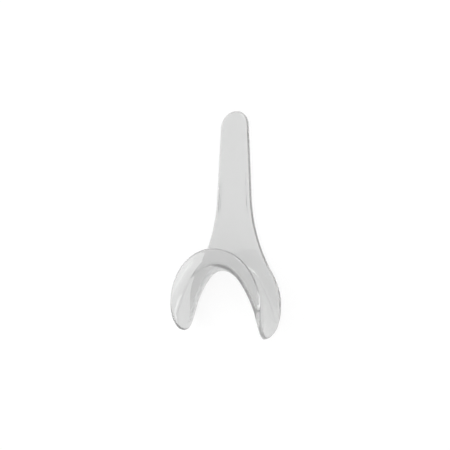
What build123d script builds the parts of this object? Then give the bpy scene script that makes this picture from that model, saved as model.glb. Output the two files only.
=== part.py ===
from build123d import *
import math
import os

# A single-ended cheek retractor, moulded in one piece from clear plastic. It lies on the flat back of its
# handle: X runs across it, Y along the handle towards its rounded end, and Z up from the table. The origin is
# under the middle of the whole length. The head is a horseshoe whose arms point to -Y. A lip or cheek sits in
# the channel round the outside of the horseshoe, between the back flange, which is one plate with the handle,
# and the lip flange. All sizes are in millimetres, and all angles in degrees.

# The whole part
overall_length = 120.0      # arm tips to handle end
depth = 21.0                # outside both flanges
plate_thickness = 3.0       # handle and back flange
lip_thickness = 2.4         # the free flange
web_thickness = 2.4         # the wall between the flanges
rim_round = 0.9             # edges of both flanges, of the arm tips and of the handle

# Outline of the head at its back flange
head_radius = 28.8
arm_side_radius = 48.0      # below the head's centre the outline is a flatter arc
tip_reach = 16.3            # head's centre down to the arm tips
tip_radius = 12.5           # rounded end of each arm, seen from the side

# Outline of the head at its lip flange, which is a little smaller
lip_radius = 27.3
lip_rise = 1.5              # the lip flange's centre is this far above the head's
lip_side_radius = 80.0
draft_start = 6.0           # height where the outline starts to narrow

# Inner line of the horseshoe, halfway between the flanges
crown_reach = 11.9          # the head's outline in to the crown
crown_radius = 16.5
leg_radius = 46.0
leg_reach = 4.5             # the head's outline in to a leg, each where it is widest

# Section of the channel
web_bow = 3.9               # the wall is this much nearer the mouth halfway than at the flanges
web_corner = 4.6            # from the wall to a flange, on the mouth's side

# Handle
handle_end_radius = 9.3
handle_taper = 3.0          # each long edge, from the rounded end towards the head
flare_radius = 80.0         # from the long edges into the head's outline

tip_y = -overall_length / 2
head_y = tip_y + tip_reach
crown_y = head_y + head_radius - crown_reach - crown_radius
leg_x = leg_radius - (head_radius - leg_reach)
crown_turn = math.degrees(math.asin(leg_x / (leg_radius - crown_radius)))
leg_y = crown_y - (leg_radius - crown_radius) * math.cos(math.radians(crown_turn))
handle_end_y = overall_length / 2 - handle_end_radius
web_radius = ((depth / 2) ** 2 + web_bow**2) / (2 * web_bow)
flange_blank = crown_reach + 2.0
plate_seam = web_bow + web_corner
edge_round = min(rim_round, 0.45 * plate_thickness, 0.45 * lip_thickness)
spare = 10.0


def level(shape, z):
    """Edges of a shape that lie flat at one height."""
    boxes = ((e, e.bounding_box()) for e in shape.edges())
    return [e for e, box in boxes if max(abs(box.min.Z - z), abs(box.max.Z - z)) < 0.001]


def head_outline(radius, side_radius, centre_y):
    """Half circle over the arms, and one flatter arc down each side, past the tips."""
    turn = math.degrees(math.asin(min(0.9, (centre_y - tip_y + spare) / side_radius)))
    side_x = side_radius - radius
    with BuildSketch() as outline:
        with BuildLine():
            CenterArc((0, centre_y), radius, 0, 180)
            left = CenterArc((side_x, centre_y), side_radius, 180, turn)
            right = CenterArc((-side_x, centre_y), side_radius, -turn, turn)
            Line(left @ 1, right @ 0)
        make_face()
    return outline.sketch


def mouth_area(offset):
    """Inside of the horseshoe, out to a distance beyond its inner line, and open below."""
    foot_x, foot_y = leg_radius + offset - leg_x, leg_y - spare
    with BuildSketch() as area:
        with BuildLine():
            CenterArc((0, crown_y), crown_radius + offset, 90 - crown_turn, 2 * crown_turn)
            right = CenterArc((-leg_x, leg_y), leg_radius + offset, 0, 90 - crown_turn)
            left = CenterArc((leg_x, leg_y), leg_radius + offset, 90 + crown_turn, 90 - crown_turn)
            Polyline(left @ 1, (-foot_x, foot_y), (foot_x, foot_y), right @ 0)
        make_face()
    return area.sketch


def channel_section(radius):
    """Section across the channel, at a radius from the Z axis: a bowed wall with a flange at each end."""
    gap = depth - plate_thickness - lip_thickness
    bow_centre = (radius + web_radius, depth / 2)
    with BuildSketch(Plane.XZ) as block:
        with Locations((radius + flange_blank / 2, depth / 2)):
            Rectangle(flange_blank, depth)
        with Locations(bow_centre):
            Circle(web_radius, mode=Mode.INTERSECT)
        fillet(block.vertices().sort_by(Axis.X)[:2], web_corner)
    with BuildSketch(Plane.XZ) as channel:
        with Locations((radius + (flange_blank + spare) / 2, plate_thickness + gap / 2)):
            Rectangle(flange_blank + spare, gap)
        with Locations(bow_centre):
            Circle(web_radius - web_thickness, mode=Mode.INTERSECT)
        fillet(channel.vertices().sort_by(Axis.X)[:2], max(0.5, web_corner - web_thickness))
    return block.sketch - channel.sketch


def swept(radius, x, y, start, turn):
    """The channel's section carried along one arc of the horseshoe."""
    return Pos(x, y) * Rot(0, 0, start) * revolve(channel_section(radius), Axis.Z, turn)


def tongue():
    """Side view of the arms: full depth, with a rounded end at the tips."""
    middle = tip_y + tip_radius
    side = Pos(middle + overall_length, depth / 2) * Rectangle(2 * overall_length, 3 * depth)
    side += Pos(middle, depth / 2) * Circle(tip_radius)
    return extrude(Plane.YZ * side, 2 * head_radius, both=True)


def head_body():
    """The head's outline as a block, narrower up to the lip flange, with its edges and tips rounded."""
    back = head_outline(head_radius, arm_side_radius, head_y)
    lip = Pos(0, 0, depth - lip_thickness) * head_outline(lip_radius, lip_side_radius, head_y + lip_rise)
    body = extrude(back, draft_start) + loft([Pos(0, 0, draft_start) * back, lip], ruled=True)
    body += extrude(lip, lip_thickness)
    body &= tongue()
    boxes = ((e, e.bounding_box()) for e in body.edges())
    tips = [e for e, box in boxes if box.size.Z > 0.5 and box.min.Y < tip_y + tip_radius]
    return fillet(tips + level(body, 0) + level(body, depth), edge_round)


def head():
    """The swept horseshoe, cut to the head's block."""
    arch = swept(crown_radius, 0, crown_y, 90 - crown_turn, 2 * crown_turn)
    arch += swept(leg_radius, -leg_x, leg_y, 0, 90 - crown_turn)
    arch += swept(leg_radius, leg_x, leg_y, 90 + crown_turn, 90 - crown_turn)
    return arch & head_body()


def handle():
    """The handle plate, flared out to meet the head's outline where the two are tangent."""
    lean = math.radians(handle_taper)
    top = (handle_end_radius * math.cos(lean), handle_end_y + handle_end_radius * math.sin(lean))
    foot = (top[0] + (top[1] - head_y) * math.tan(lean), head_y)
    outline = make_face(Polyline(top, foot, (-foot[0], foot[1]), (-top[0], top[1]), close=True))
    outline += Pos(0, head_y) * Circle(head_radius) + Pos(0, handle_end_y) * Circle(handle_end_radius)
    outline = fillet(outline.vertices().sort_by(Axis.Y)[:2], flare_radius)
    plate = extrude(outline, plate_thickness)
    plate = fillet(level(plate, 0) + level(plate, plate_thickness), edge_round)

    meet = outline.vertices().sort_by(Axis.Y)[:2].sort_by(Axis.X)[-1]
    edge = (3 * meet.X, head_y + 3 * (meet.Y - head_y))
    above = make_face(Polyline((0, head_y), edge, (edge[0], overall_length), (-edge[0], overall_length),
                               (-edge[0], edge[1]), close=True))
    plate &= extrude(Pos(0, 0, -spare) * above, 2 * spare)
    return plate - extrude(Pos(0, 0, -spare) * mouth_area(plate_seam), 2 * spare)


retractor = head() + handle()

os.makedirs("parts", exist_ok=True)
export_step(retractor, "parts/retractor.step")
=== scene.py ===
import math

import bpy
import numpy as np
from mathutils import Matrix, Vector


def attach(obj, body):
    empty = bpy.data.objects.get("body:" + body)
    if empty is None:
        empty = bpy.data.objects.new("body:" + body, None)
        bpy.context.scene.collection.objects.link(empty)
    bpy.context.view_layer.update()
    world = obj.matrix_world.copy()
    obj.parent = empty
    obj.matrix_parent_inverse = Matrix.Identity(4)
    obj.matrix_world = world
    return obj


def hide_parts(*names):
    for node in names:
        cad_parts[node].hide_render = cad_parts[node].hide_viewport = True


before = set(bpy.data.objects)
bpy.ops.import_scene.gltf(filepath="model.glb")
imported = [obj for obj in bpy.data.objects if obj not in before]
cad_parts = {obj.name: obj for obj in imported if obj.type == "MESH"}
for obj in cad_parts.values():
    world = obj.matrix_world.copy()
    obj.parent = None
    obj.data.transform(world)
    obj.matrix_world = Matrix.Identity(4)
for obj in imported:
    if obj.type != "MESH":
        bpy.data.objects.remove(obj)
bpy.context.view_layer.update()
millimetre = 0.001


# Camera: it looks down on the object from the +X side, with the handle pointing up the picture.
cameraView = {
    "distance": 263.6,            # mm, from the aim point to the lens
    "aim": (0.5, -2.83, 10.5),    # mm, the point at the middle of the picture
    "turn": 34.93,                # degrees, round the length of the object, away from straight above
    "lift": -3.64,                # degrees, along the object
    "roll": 0.58,                 # degrees
    "pixelSize": 0.5244,          # mm across one pixel at the aim point
    "pictureWidth": 450,          # pixels
    "nearest": 0.01,              # metres, closest thing that the lens shows
}


# The camera's back axis is the straight-up axis turned towards +X and then lifted along Y. Right stays
# level in the object's cross plane, and up completes the three.
def makeCamera(view):
    turn, lift, roll = (math.radians(view[key]) for key in ("turn", "lift", "roll"))
    back = Vector((math.sin(turn) * math.cos(lift), math.sin(lift), math.cos(turn) * math.cos(lift)))
    right = Vector((math.cos(turn), 0, -math.sin(turn)))
    up = back.cross(right)
    rolledRight = right * math.cos(roll) + up * math.sin(roll)
    rolledUp = up * math.cos(roll) - right * math.sin(roll)
    place = (Vector(view["aim"]) + back * view["distance"]) * millimetre
    data = bpy.data.cameras.new("productCamera")
    data.lens = data.sensor_width * view["distance"] / (view["pixelSize"] * view["pictureWidth"])
    data.clip_start = view["nearest"]
    camera = bpy.data.objects.new("productCamera", data)
    bpy.context.scene.collection.objects.link(camera)
    camera.matrix_world = Matrix((
        (rolledRight.x, rolledUp.x, back.x, place.x),
        (rolledRight.y, rolledUp.y, back.y, place.y),
        (rolledRight.z, rolledUp.z, back.z, place.z),
        (0, 0, 0, 1),
    ))
    bpy.context.scene.camera = camera


makeCamera(cameraView)
print("stage: camera")


# The moulding. All lengths are in millimetres, and all angles in degrees.
retractorShape = {
    "length": 120.0,
    "depth": 21.0,
    "plate": 3.0,               # handle and back flange
    "lip": 2.4,                 # free flange
    "web": 2.4,                 # wall between the flanges
    "headRadius": 28.8,
    "armSideRadius": 46.0,      # the back outline beside the arms
    "tipReach": 16.2,           # head's centre down to the arm tips
    "tipRadius": 12.0,          # the arm's round end, seen from the side
    "lipHalfWidth": 27.9,
    "lipCrownReach": 28.6,      # head's centre up to the lip flange's crown
    "lipSideRadius": 62.0,
    "mouthHeight": 16.9,        # head's centre up to the inner line's crown
    "crownRadius": 17.3,
    "legRadius": 47.5,
    "legHalfGap": 24.5,
    "webBow": 3.9,
    "bendRadius": 3.4,          # middle of the wall into the middle of a flange
    "handleEndRadius": 8.9,
    "handleTaper": 3.0,
    "flareRadius": 80.0,
    "rimRound": 1.4,            # how far in from an edge its rounding reaches
    "rimPower": 2.0,            # 2 is an elliptical edge, more is squarer
    "cornerRound": 0.6,         # where the arm's end runs into its long edges
}
retractorGrid = {
    # Stations, from a tip to the middle of the handle's end
    "arm": 90, "flare": 26, "edge": 16, "end": 26,
    # Rows, from the lip flange's rim to the outline
    "acrossChannel": 84, "acrossPlate": 20, "acrossRim": 16,
    "crowded": 22,              # rows of the channel that stay close together at its rim
    "leastStep": 0.02,          # first step at a rim, as a share of the even ones
    "rimWidth": 1.6,            # width of the rim's rows, in rimRounds
    "mostRim": 0.6,             # share of a flange that those rows take at most
    "mostChannel": 0.6,         # how far the channel's rows reach on a fading flange, as a share of it
    "leastReach": 1e-6,         # and in mm, at the tip itself
    "blend": 6,                 # higher makes that reach meet the bend's end more sharply
    "sectionSamples": 1500, "tipSamples": 4000, "endSamples": 1200,
}


def smoothStep(x):   # 3x² - 2x³ between 0 and 1
    x = np.clip(x, 0.0, 1.0)
    return x * x * (3.0 - 2.0 * x)


# Sizes that follow from the ones above. The leg's circle touches the crown's where the heading is
# crownTurn, and the web's arc bows webBow out of a chord that is as long as the depth.
def derivedSizes(shape):
    s = dict(shape)
    s["tipY"], s["middleZ"] = -s["length"] / 2, s["depth"] / 2
    s["headY"] = s["tipY"] + s["tipReach"]
    s["crownY"] = s["headY"] + s["mouthHeight"] - s["crownRadius"]
    s["legX"] = s["legRadius"] - s["legHalfGap"]
    s["crownTurn"] = math.asin(s["legX"] / (s["legRadius"] - s["crownRadius"]))
    s["legY"] = s["crownY"] - (s["legRadius"] - s["crownRadius"]) * math.cos(s["crownTurn"])
    s["webRadius"] = (s["middleZ"] ** 2 + s["webBow"] ** 2) / (2 * s["webBow"])
    s["webMiddle"] = s["webRadius"] - s["web"] / 2
    s["handleEndY"] = s["length"] / 2 - s["handleEndRadius"]
    return s


# Inner line of the horseshoe at half height, moved outwards by an offset. Heading is the angle of the
# outward normal from +Y. The line is the crown's circle up to crownTurn, and the leg's larger circle
# beyond it.
def archPoint(s, heading, offset):
    onLeg = heading > s["crownTurn"]
    centreX = np.where(onLeg, -s["legX"], 0.0)
    centreY = np.where(onLeg, s["legY"], s["crownY"])
    radius = np.where(onLeg, s["legRadius"], s["crownRadius"]) + offset
    return centreX + radius * np.sin(heading), centreY + radius * np.cos(heading)


# Half of the channel's middle line in section, from half height to a flange and out along it. It is an
# arc about a point in the channel, a tighter arc that touches it, and a straight line that runs past the
# outline. Returns how far along, how far out, how far from half height, the angle of the line's normal,
# and where the bend ends.
def sectionHalf(s, flangeMiddle, samples, reach=14.0):
    bend, web = s["bendRadius"], s["webMiddle"]
    across = math.sqrt((web - bend) ** 2 - (flangeMiddle - bend) ** 2)
    webAngle = math.atan2(flangeMiddle - bend, across)
    webEnd = web * webAngle
    bendEnd = webEnd + bend * (math.pi / 2 - webAngle)
    along = np.linspace(0.0, bendEnd + reach, samples)
    angle = np.where(along < webEnd, along / web, webAngle + (np.minimum(along, bendEnd) - webEnd) / bend)
    radius = np.where(along < webEnd, web, bend)
    out = s["webRadius"] - np.where(along < webEnd, 0.0, across) - radius * np.cos(angle)
    rise = np.where(along < webEnd, 0.0, flangeMiddle - bend) + radius * np.sin(angle)
    out = out + np.maximum(along - bendEnd, 0.0)
    return along, out, rise, angle, bendEnd


# The whole middle line: negative along the lip's half, positive along the back flange's half. The normal
# points away from the channel, and half the wall's thickness changes from the web's to each flange's.
def sectionLine(s, samples):
    backMiddle, lipMiddle = s["middleZ"] - s["plate"] / 2, s["middleZ"] - s["lip"] / 2
    backAlong, backOut, backRise, backAngle, backBend = sectionHalf(s, backMiddle, samples)
    lipAlong, lipOut, lipRise, lipAngle, _ = sectionHalf(s, lipMiddle, samples)
    along = np.concatenate((-lipAlong[:0:-1], backAlong))
    out = np.concatenate((lipOut[:0:-1], backOut))
    height = s["middleZ"] + np.concatenate((lipRise[:0:-1], -backRise))
    normalOut = -np.cos(np.concatenate((lipAngle[:0:-1], backAngle)))
    normalUp = np.concatenate((np.sin(lipAngle[:0:-1]), -np.sin(backAngle)))
    thick = np.where(along < 0, s["lip"] + (s["web"] - s["lip"]) * smoothStep(1 + along / backBend),
                     s["web"] + (s["plate"] - s["web"]) * smoothStep(along / backBend * 2 - 1)) / 2
    return {"along": along, "out": out, "height": height, "normalOut": normalOut, "normalUp": normalUp,
            "thick": thick, "bendEnd": backBend}


# How far a point is inside the head. In plan, each outline is a curve over the head's centre with a
# flatter arc below it, and the back outline blends into the lip's with height. From the side, the arm's
# end is a circle. The two distances a and b meet with a rounded corner as a + b - √(a² + b²).
def insideDistance(s, x, y, z, openPlate):
    below = y < s["headY"]
    fromHead = y - s["headY"]
    sideShift = s["armSideRadius"] - s["headRadius"]
    back = np.where(below, s["armSideRadius"] - np.hypot(x + sideShift, fromHead),
                    s["headRadius"] - np.hypot(x, fromHead))
    back = np.where(openPlate, s["headRadius"], back)
    lipShift = s["lipSideRadius"] - s["lipHalfWidth"]
    lipSide = s["lipSideRadius"] - np.hypot(x + lipShift, fromHead)
    lipCrown = s["lipHalfWidth"] * (1 - np.hypot(x / s["lipHalfWidth"], fromHead / s["lipCrownReach"]))
    lip = np.where(below, lipSide, lipCrown)
    share = smoothStep((z - s["plate"]) / (s["depth"] - s["lip"] - s["plate"]))
    outline = back + (lip - back) * share
    fromTip = y - s["tipY"] - s["tipRadius"]
    end = s["tipRadius"] - np.hypot(np.minimum(fromTip, 0), z - s["middleZ"]) + np.maximum(fromTip, 0)
    a, b = outline + s["cornerRound"], end + s["cornerRound"]
    return a + b - np.sqrt(a * a + b * b) - s["cornerRound"]


# Where a row of falling values first reaches zero, as a position on the shared axis, by linear steps.
def firstZero(axis, values, least=1e-9):
    past = values <= 0
    after = np.maximum(np.argmax(past, axis=1), 1)
    rows = np.arange(len(values))
    v0, v1 = values[rows, after - 1], values[rows, after]
    return axis[after - 1] + (axis[after] - axis[after - 1]) * v0 / np.maximum(v0 - v1, least)


# Right half of the handle's outline, from the middle of its end to the head: an arc of the end circle,
# the tapered straight edge, and the flare, an arc that touches the edge and the head's circle from outside.
def handleOutline(s, grid):
    taper = math.radians(s["handleTaper"])
    outward = np.array((math.cos(taper), math.sin(taper)))
    upward = np.array((-math.sin(taper), math.cos(taper)))
    head, end = np.array((0.0, s["headY"])), np.array((0.0, s["handleEndY"]))
    edgeStart = end + s["handleEndRadius"] * outward
    offset = s["flareRadius"] - (head - edgeStart) @ outward
    reach = s["headRadius"] + s["flareRadius"]
    flareCentre = head + offset * outward + math.sqrt(reach ** 2 - offset ** 2) * upward
    edgeEnd = flareCentre - s["flareRadius"] * outward
    towardsHead = (head - flareCentre) / reach
    t = np.linspace(math.pi / 2, taper, grid["end"])
    endNormal = np.column_stack((np.cos(t), np.sin(t)))
    endPoints = end + s["handleEndRadius"] * endNormal
    t = np.linspace(0, 1, grid["edge"] + 1)[1:, None]
    edgePoints = edgeStart + (edgeEnd - edgeStart) * t
    edgeNormal = np.repeat(outward[None, :], grid["edge"], axis=0)
    first, last = math.atan2(-outward[1], -outward[0]), math.atan2(towardsHead[1], towardsHead[0])
    t = np.linspace(first, last, grid["flare"] + 1)[1:]
    flareNormal = -np.column_stack((np.cos(t), np.sin(t)))
    flarePoints = flareCentre - s["flareRadius"] * flareNormal
    points = np.concatenate((endPoints, edgePoints, flarePoints))
    return points, np.concatenate((endNormal, edgeNormal, flareNormal))


# Places between 0 and 1 that crowd at the start, where the edge is round, and are even beyond it.
def crowdedSteps(count, crowded, leastStep):
    steps = leastStep + smoothStep(np.arange(count) / crowded)
    return np.concatenate(((0.0,), np.cumsum(steps) / steps.sum()))


# Half the thickness near an edge, as a share: a superellipse from 0 at the edge to 1 where it ends.
def rimShare(s, distance):
    t = np.clip(distance / s["rimRound"], 0.0, 1.0)
    return (1 - (1 - t) ** s["rimPower"]) ** (1 / s["rimPower"])


# Right half of the moulding, station by station from the middle of the handle's end to the tip. Each
# station is the section line stood on the arch at one heading and cut where insideDistance is 0. Beside
# the handle, the row then goes straight across the plate to the outline, whose rounding is set off along
# the outline's own normal.
def rightHalf(s, grid):
    line = sectionLine(s, grid["sectionSamples"])
    handlePoints, handleNormals = handleOutline(s, grid)
    handleCount = len(handlePoints)

    headTangent = handlePoints[-1] - np.array((-s["legX"], s["legY"]))
    joinHeading = math.atan2(headTangent[0], headTangent[1])
    headings = np.linspace(joinHeading, math.pi / 2, grid["tipSamples"])
    tipX, tipY = archPoint(s, headings, line["out"][np.argmin(np.abs(line["along"]))])
    tipInside = insideDistance(s, tipX, tipY, s["middleZ"], False)
    tipHeading = firstZero(headings, tipInside[None, :])[0]
    armPart = np.sin(np.linspace(0, math.pi / 2, grid["arm"] + 1))[1:]
    armHeading = joinHeading + (tipHeading - joinHeading) * armPart
    heading = np.concatenate((np.linspace(0, joinHeading, handleCount), armHeading))[:, None]
    openPlate = (np.arange(len(heading)) < handleCount)[:, None]

    # Ends of the section line at each station, towards the lip and towards the back outline.
    def insideAt(along):
        out = np.interp(along, line["along"], line["out"])
        x, y = archPoint(s, heading, out)
        z = np.interp(along, line["along"], line["height"]) + 0 * x
        return insideDistance(s, x, y, z, openPlate)

    lipAxis = -np.linspace(0.0, -line["along"][0], grid["endSamples"])
    backAxis = np.linspace(0.0, line["along"][-1], grid["endSamples"])
    lipEnd = firstZero(lipAxis, insideAt(lipAxis[None, :]))[:, None]
    backEnd = firstZero(backAxis, insideAt(backAxis[None, :]))[:, None]

    # Rows: over the channel as far as its bend's end, or less where the arm's flange fades, then over the
    # flange, and close together at its rim.
    blend, bendEnd = grid["blend"], line["bendEnd"]
    fading = np.maximum(grid["mostChannel"] * backEnd, grid["leastReach"])
    split = np.where(openPlate, bendEnd, (bendEnd ** -blend + fading ** -blend) ** (-1 / blend))
    crowdedShare = crowdedSteps(grid["acrossChannel"], grid["crowded"], grid["leastStep"])[None, :]
    channel = lipEnd + (split - lipEnd) * crowdedShare
    rimWidth = s["rimRound"] * grid["rimWidth"]
    rimReach = np.minimum(rimWidth, (backEnd - split) * grid["mostRim"])
    plateShare = np.linspace(0, 1, grid["acrossPlate"] + 1)[None, 1:]
    rimSteps = crowdedSteps(grid["acrossRim"], grid["acrossRim"], grid["leastStep"])[::-1][None, 1:]
    onPlate = split + (backEnd - rimReach - split) * plateShare
    onRim = backEnd - rimReach * rimSteps
    along = np.concatenate((channel, onPlate, onRim), axis=1)

    out = np.interp(along, line["along"], line["out"])
    x, y = archPoint(s, heading, out)
    z = np.interp(along, line["along"], line["height"])
    inside = insideDistance(s, x, y, z, openPlate)
    normalOut = np.interp(along, line["along"], line["normalOut"])
    normalUp = np.interp(along, line["along"], line["normalUp"])
    half = np.interp(along, line["along"], line["thick"])

    # Beside the handle: rows across the plate, then rows set in from the outline.
    first = grid["acrossChannel"] + 1
    edge = first + grid["acrossPlate"]
    rimDepth = rimWidth * rimSteps
    startX, startY = x[:handleCount, first - 1:first], y[:handleCount, first - 1:first]
    inX = handlePoints[:, :1] - handleNormals[:, :1] * rimWidth
    inY = handlePoints[:, 1:] - handleNormals[:, 1:] * rimWidth
    x[:handleCount, first:edge] = startX + (inX - startX) * plateShare
    y[:handleCount, first:edge] = startY + (inY - startY) * plateShare
    x[:handleCount, edge:] = handlePoints[:, :1] - handleNormals[:, :1] * rimDepth
    y[:handleCount, edge:] = handlePoints[:, 1:] - handleNormals[:, 1:] * rimDepth
    z[:handleCount, first:] = s["plate"] / 2
    normalOut[:handleCount, first:], normalUp[:handleCount, first:] = 0.0, -1.0
    half[:handleCount, first:] = s["plate"] / 2
    inside[:handleCount, first:edge] = s["rimRound"]
    inside[:handleCount, edge:] = rimDepth + 0 * heading[:handleCount]

    half = half * rimShare(s, inside)
    half[:, 0], half[:, -1] = 0.0, 0.0
    normal = np.stack((normalOut * np.sin(heading), normalOut * np.cos(heading), normalUp), axis=-1)
    middle = np.stack((x, y, z), axis=-1)
    outer = middle + normal * half[..., None]
    inner = middle - normal * half[..., None]
    return np.concatenate((outer, inner[:, -2:0:-1]), axis=1)


# The whole surface is the left half, mirrored in X, then the right half. Each station is one closed loop,
# and the tips, where the loop shrinks to a point, are closed with fans.
def makeRetractor(shape, grid):
    right = rightHalf(derivedSizes(shape), grid)
    left = right[:0:-1] * np.array((-1.0, 1.0, 1.0))
    stations = np.concatenate((left, right))
    firstTip, lastTip = stations[0].mean(axis=0), stations[-1].mean(axis=0)
    loops = stations[1:-1]
    count, around = loops.shape[:2]
    index = np.arange(count * around).reshape(count, around)
    a, b = index[:-1], index[1:]
    quads = np.stack((a, np.roll(a, -1, axis=1), np.roll(b, -1, axis=1), b), axis=-1).reshape(-1, 4)
    tipIndex = count * around
    ends = np.stack((np.roll(index[0], -1), index[0], np.full(around, tipIndex)), axis=-1)
    otherEnds = np.stack((index[-1], np.roll(index[-1], -1), np.full(around, tipIndex + 1)), axis=-1)
    vertices = np.concatenate((loops.reshape(-1, 3), firstTip[None], lastTip[None])) * millimetre
    mesh = bpy.data.meshes.new("retractorShell")
    mesh.from_pydata(vertices.tolist(), [], quads.tolist() + ends.tolist() + otherEnds.tolist())
    mesh.polygons.foreach_set("use_smooth", np.ones(len(mesh.polygons), bool))
    mesh.update()
    shell = bpy.data.objects.new("retractorShell", mesh)
    bpy.context.scene.collection.objects.link(shell)
    return shell


retractor = makeRetractor(retractorShape, retractorGrid)
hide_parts("retractor")
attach(retractor, "root")
print("stage: retractor", len(retractor.data.vertices), "vertices")


clearPlastic = {
    "tint": (0.75, 0.752, 0.75, 1.0),
    "clear": 0.8,               # share of the light that goes straight through, the rest is a faint haze
    "roughness": (0.02, 0.05),  # from the glossiest patches to the most handled
    "ior": 1.58,
    "absorb": (0.60, 0.61, 0.61, 1.0),
    "density": 2.0,
    "patchScale": 45.0,         # per metre
    "patchDetail": 4.0,
    "patchRange": (0.35, 0.65),  # the noise's values that take the two ends of the roughness
    "waveScale": 70.0,          # per metre
    "waveDetail": 1.0,
    "waveHeight": 0.00001,      # metres, the slight waviness of a moulded face
}


# Clear moulded plastic with a faint milky haze: a refracting surface whose gloss varies in soft patches,
# whose faces are very slightly wavy, and a grey that deepens with the length of plastic crossed.
def makeClearPlastic(look):
    material = bpy.data.materials.new("clearPlastic")
    material.use_nodes = True
    nodes, links = material.node_tree.nodes, material.node_tree.links
    nodes.clear()
    output = nodes.new("ShaderNodeOutputMaterial")
    plastic = nodes.new("ShaderNodeBsdfPrincipled")
    plastic.inputs["Base Color"].default_value = look["tint"]
    plastic.inputs["IOR"].default_value = look["ior"]
    plastic.inputs["Transmission Weight"].default_value = look["clear"]
    place = nodes.new("ShaderNodeTexCoord")
    patches = nodes.new("ShaderNodeTexNoise")
    patches.inputs["Scale"].default_value = look["patchScale"]
    patches.inputs["Detail"].default_value = look["patchDetail"]
    gloss = nodes.new("ShaderNodeMapRange")
    gloss.inputs["From Min"].default_value, gloss.inputs["From Max"].default_value = look["patchRange"]
    gloss.inputs["To Min"].default_value, gloss.inputs["To Max"].default_value = look["roughness"]
    links.new(place.outputs["Object"], patches.inputs["Vector"])
    links.new(patches.outputs["Fac"], gloss.inputs["Value"])
    links.new(gloss.outputs[0], plastic.inputs["Roughness"])
    waves = nodes.new("ShaderNodeTexNoise")
    waves.inputs["Scale"].default_value = look["waveScale"]
    waves.inputs["Detail"].default_value = look["waveDetail"]
    bump = nodes.new("ShaderNodeBump")
    bump.inputs["Distance"].default_value = look["waveHeight"]
    links.new(place.outputs["Object"], waves.inputs["Vector"])
    links.new(waves.outputs["Fac"], bump.inputs["Height"])
    links.new(bump.outputs["Normal"], plastic.inputs["Normal"])
    absorb = nodes.new("ShaderNodeVolumeAbsorption")
    absorb.inputs["Color"].default_value = look["absorb"]
    absorb.inputs["Density"].default_value = look["density"]
    links.new(plastic.outputs["BSDF"], output.inputs["Surface"])
    links.new(absorb.outputs["Volume"], output.inputs["Volume"])
    return material


retractor.data.materials.append(makeClearPlastic(clearPlastic))
print("stage: material")


studio = {
    "floorSize": 4.0,
    "floorGap": 0.0001,          # metres below the handle's flat back, so that the two faces don't coincide
    "floorColour": (0.95, 0.95, 0.95, 1.0),
    "floorGlow": 0.84,           # share of the floor's white that needs no lamp
    "skyColour": (1.0, 1.0, 1.0, 1.0),
    "horizon": 0.08,             # strength of the light from the horizon
    "zenith": 1.04,              # and from above
    "zenithHeight": 0.6,         # Z of the lowest direction that is as strong as the zenith
    "lamps": {                   # place in metres, width in metres, power in watts
        "keyLamp": ((0.1, 0.9, 0.8), 0.5, 3.0),
        "fillLamp": ((0.7, -0.6, 0.5), 0.5, 1.8),
        "sideLamp": ((-0.85, 0.15, 0.45), 0.9, 3.0),
    },
    "bounces": 32,               # light runs a long way along inside clear walls
}


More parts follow.
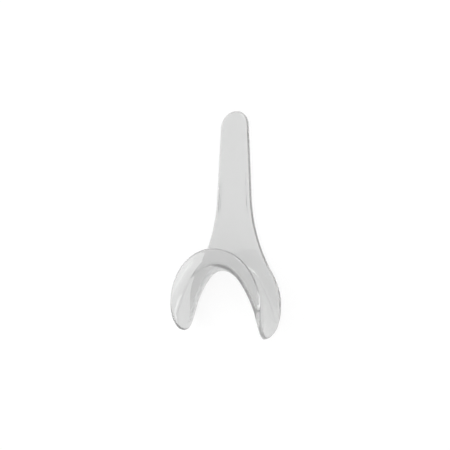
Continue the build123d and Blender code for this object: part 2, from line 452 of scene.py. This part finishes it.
# Floor: matt white for the lamps, and mostly plain white to the camera, also through the plastic.
def makeFloor(look):
    half = look["floorSize"] / 2
    mesh = bpy.data.meshes.new("floor")
    height = -look["floorGap"]
    corners = [(-half, -half, height), (half, -half, height), (half, half, height), (-half, half, height)]
    mesh.from_pydata(corners, [], [(0, 1, 2, 3)])
    floor = bpy.data.objects.new("floor", mesh)
    bpy.context.scene.collection.objects.link(floor)
    material = bpy.data.materials.new("floorWhite")
    material.use_nodes = True
    nodes, links = material.node_tree.nodes, material.node_tree.links
    nodes.clear()
    output = nodes.new("ShaderNodeOutputMaterial")
    matt = nodes.new("ShaderNodeBsdfDiffuse")
    matt.inputs["Color"].default_value = look["floorColour"]
    glow = nodes.new("ShaderNodeEmission")
    path = nodes.new("ShaderNodeLightPath")
    seen = nodes.new("ShaderNodeMath")
    seen.operation = "MAXIMUM"
    seenThrough = nodes.new("ShaderNodeMath")
    seenThrough.operation = "MAXIMUM"
    share = nodes.new("ShaderNodeMath")
    share.operation = "MULTIPLY"
    share.inputs[1].default_value = look["floorGlow"]
    mix = nodes.new("ShaderNodeMixShader")
    links.new(path.outputs["Is Camera Ray"], seen.inputs[0])
    links.new(path.outputs["Is Glossy Ray"], seen.inputs[1])
    links.new(seen.outputs[0], seenThrough.inputs[0])
    links.new(path.outputs["Is Transmission Ray"], seenThrough.inputs[1])
    links.new(seenThrough.outputs[0], share.inputs[0])
    links.new(share.outputs[0], mix.inputs["Fac"])
    links.new(matt.outputs[0], mix.inputs[1])
    links.new(glow.outputs[0], mix.inputs[2])
    links.new(mix.outputs[0], output.inputs["Surface"])
    mesh.materials.append(material)


# World: a soft grey that brightens from the horizon to the zenith, and plain white to the camera.
def makeWorld(look):
    world = bpy.data.worlds.new("studioWorld")
    bpy.context.scene.world = world
    world.use_nodes = True
    nodes, links = world.node_tree.nodes, world.node_tree.links
    nodes.clear()
    output = nodes.new("ShaderNodeOutputWorld")
    light = nodes.new("ShaderNodeBackground")
    light.inputs["Color"].default_value = look["skyColour"]
    place = nodes.new("ShaderNodeTexCoord")
    split = nodes.new("ShaderNodeSeparateXYZ")
    ramp = nodes.new("ShaderNodeMapRange")
    ramp.inputs["From Max"].default_value = look["zenithHeight"]
    ramp.inputs["To Min"].default_value = look["horizon"]
    ramp.inputs["To Max"].default_value = look["zenith"]
    path = nodes.new("ShaderNodeLightPath")
    brighter = nodes.new("ShaderNodeMath")
    brighter.operation = "MAXIMUM"
    links.new(place.outputs["Generated"], split.inputs[0])
    links.new(split.outputs["Z"], ramp.inputs["Value"])
    links.new(ramp.outputs[0], brighter.inputs[0])
    links.new(path.outputs["Is Camera Ray"], brighter.inputs[1])
    links.new(brighter.outputs[0], light.inputs["Strength"])
    links.new(light.outputs[0], output.inputs["Surface"])


# Soft lamps: each is a square panel that faces the object's middle.
def makeLamp(name, place, size, power):
    data = bpy.data.lights.new(name, "AREA")
    data.shape = "SQUARE"
    data.size = size
    data.energy = power
    lamp = bpy.data.objects.new(name, data)
    bpy.context.scene.collection.objects.link(lamp)
    lamp.location = place
    lamp.rotation_mode = "QUATERNION"
    lamp.rotation_quaternion = Vector(place).to_track_quat("Z", "Y")


makeFloor(studio)
makeWorld(studio)
for lampName, lampValues in studio["lamps"].items():
    makeLamp(lampName, *lampValues)
bpy.context.scene.view_settings.view_transform = "Standard"
cycles = bpy.context.scene.cycles
cycles.max_bounces = studio["bounces"]
cycles.transmission_bounces = studio["bounces"]
cycles.glossy_bounces = studio["bounces"]
print("stage: studio")
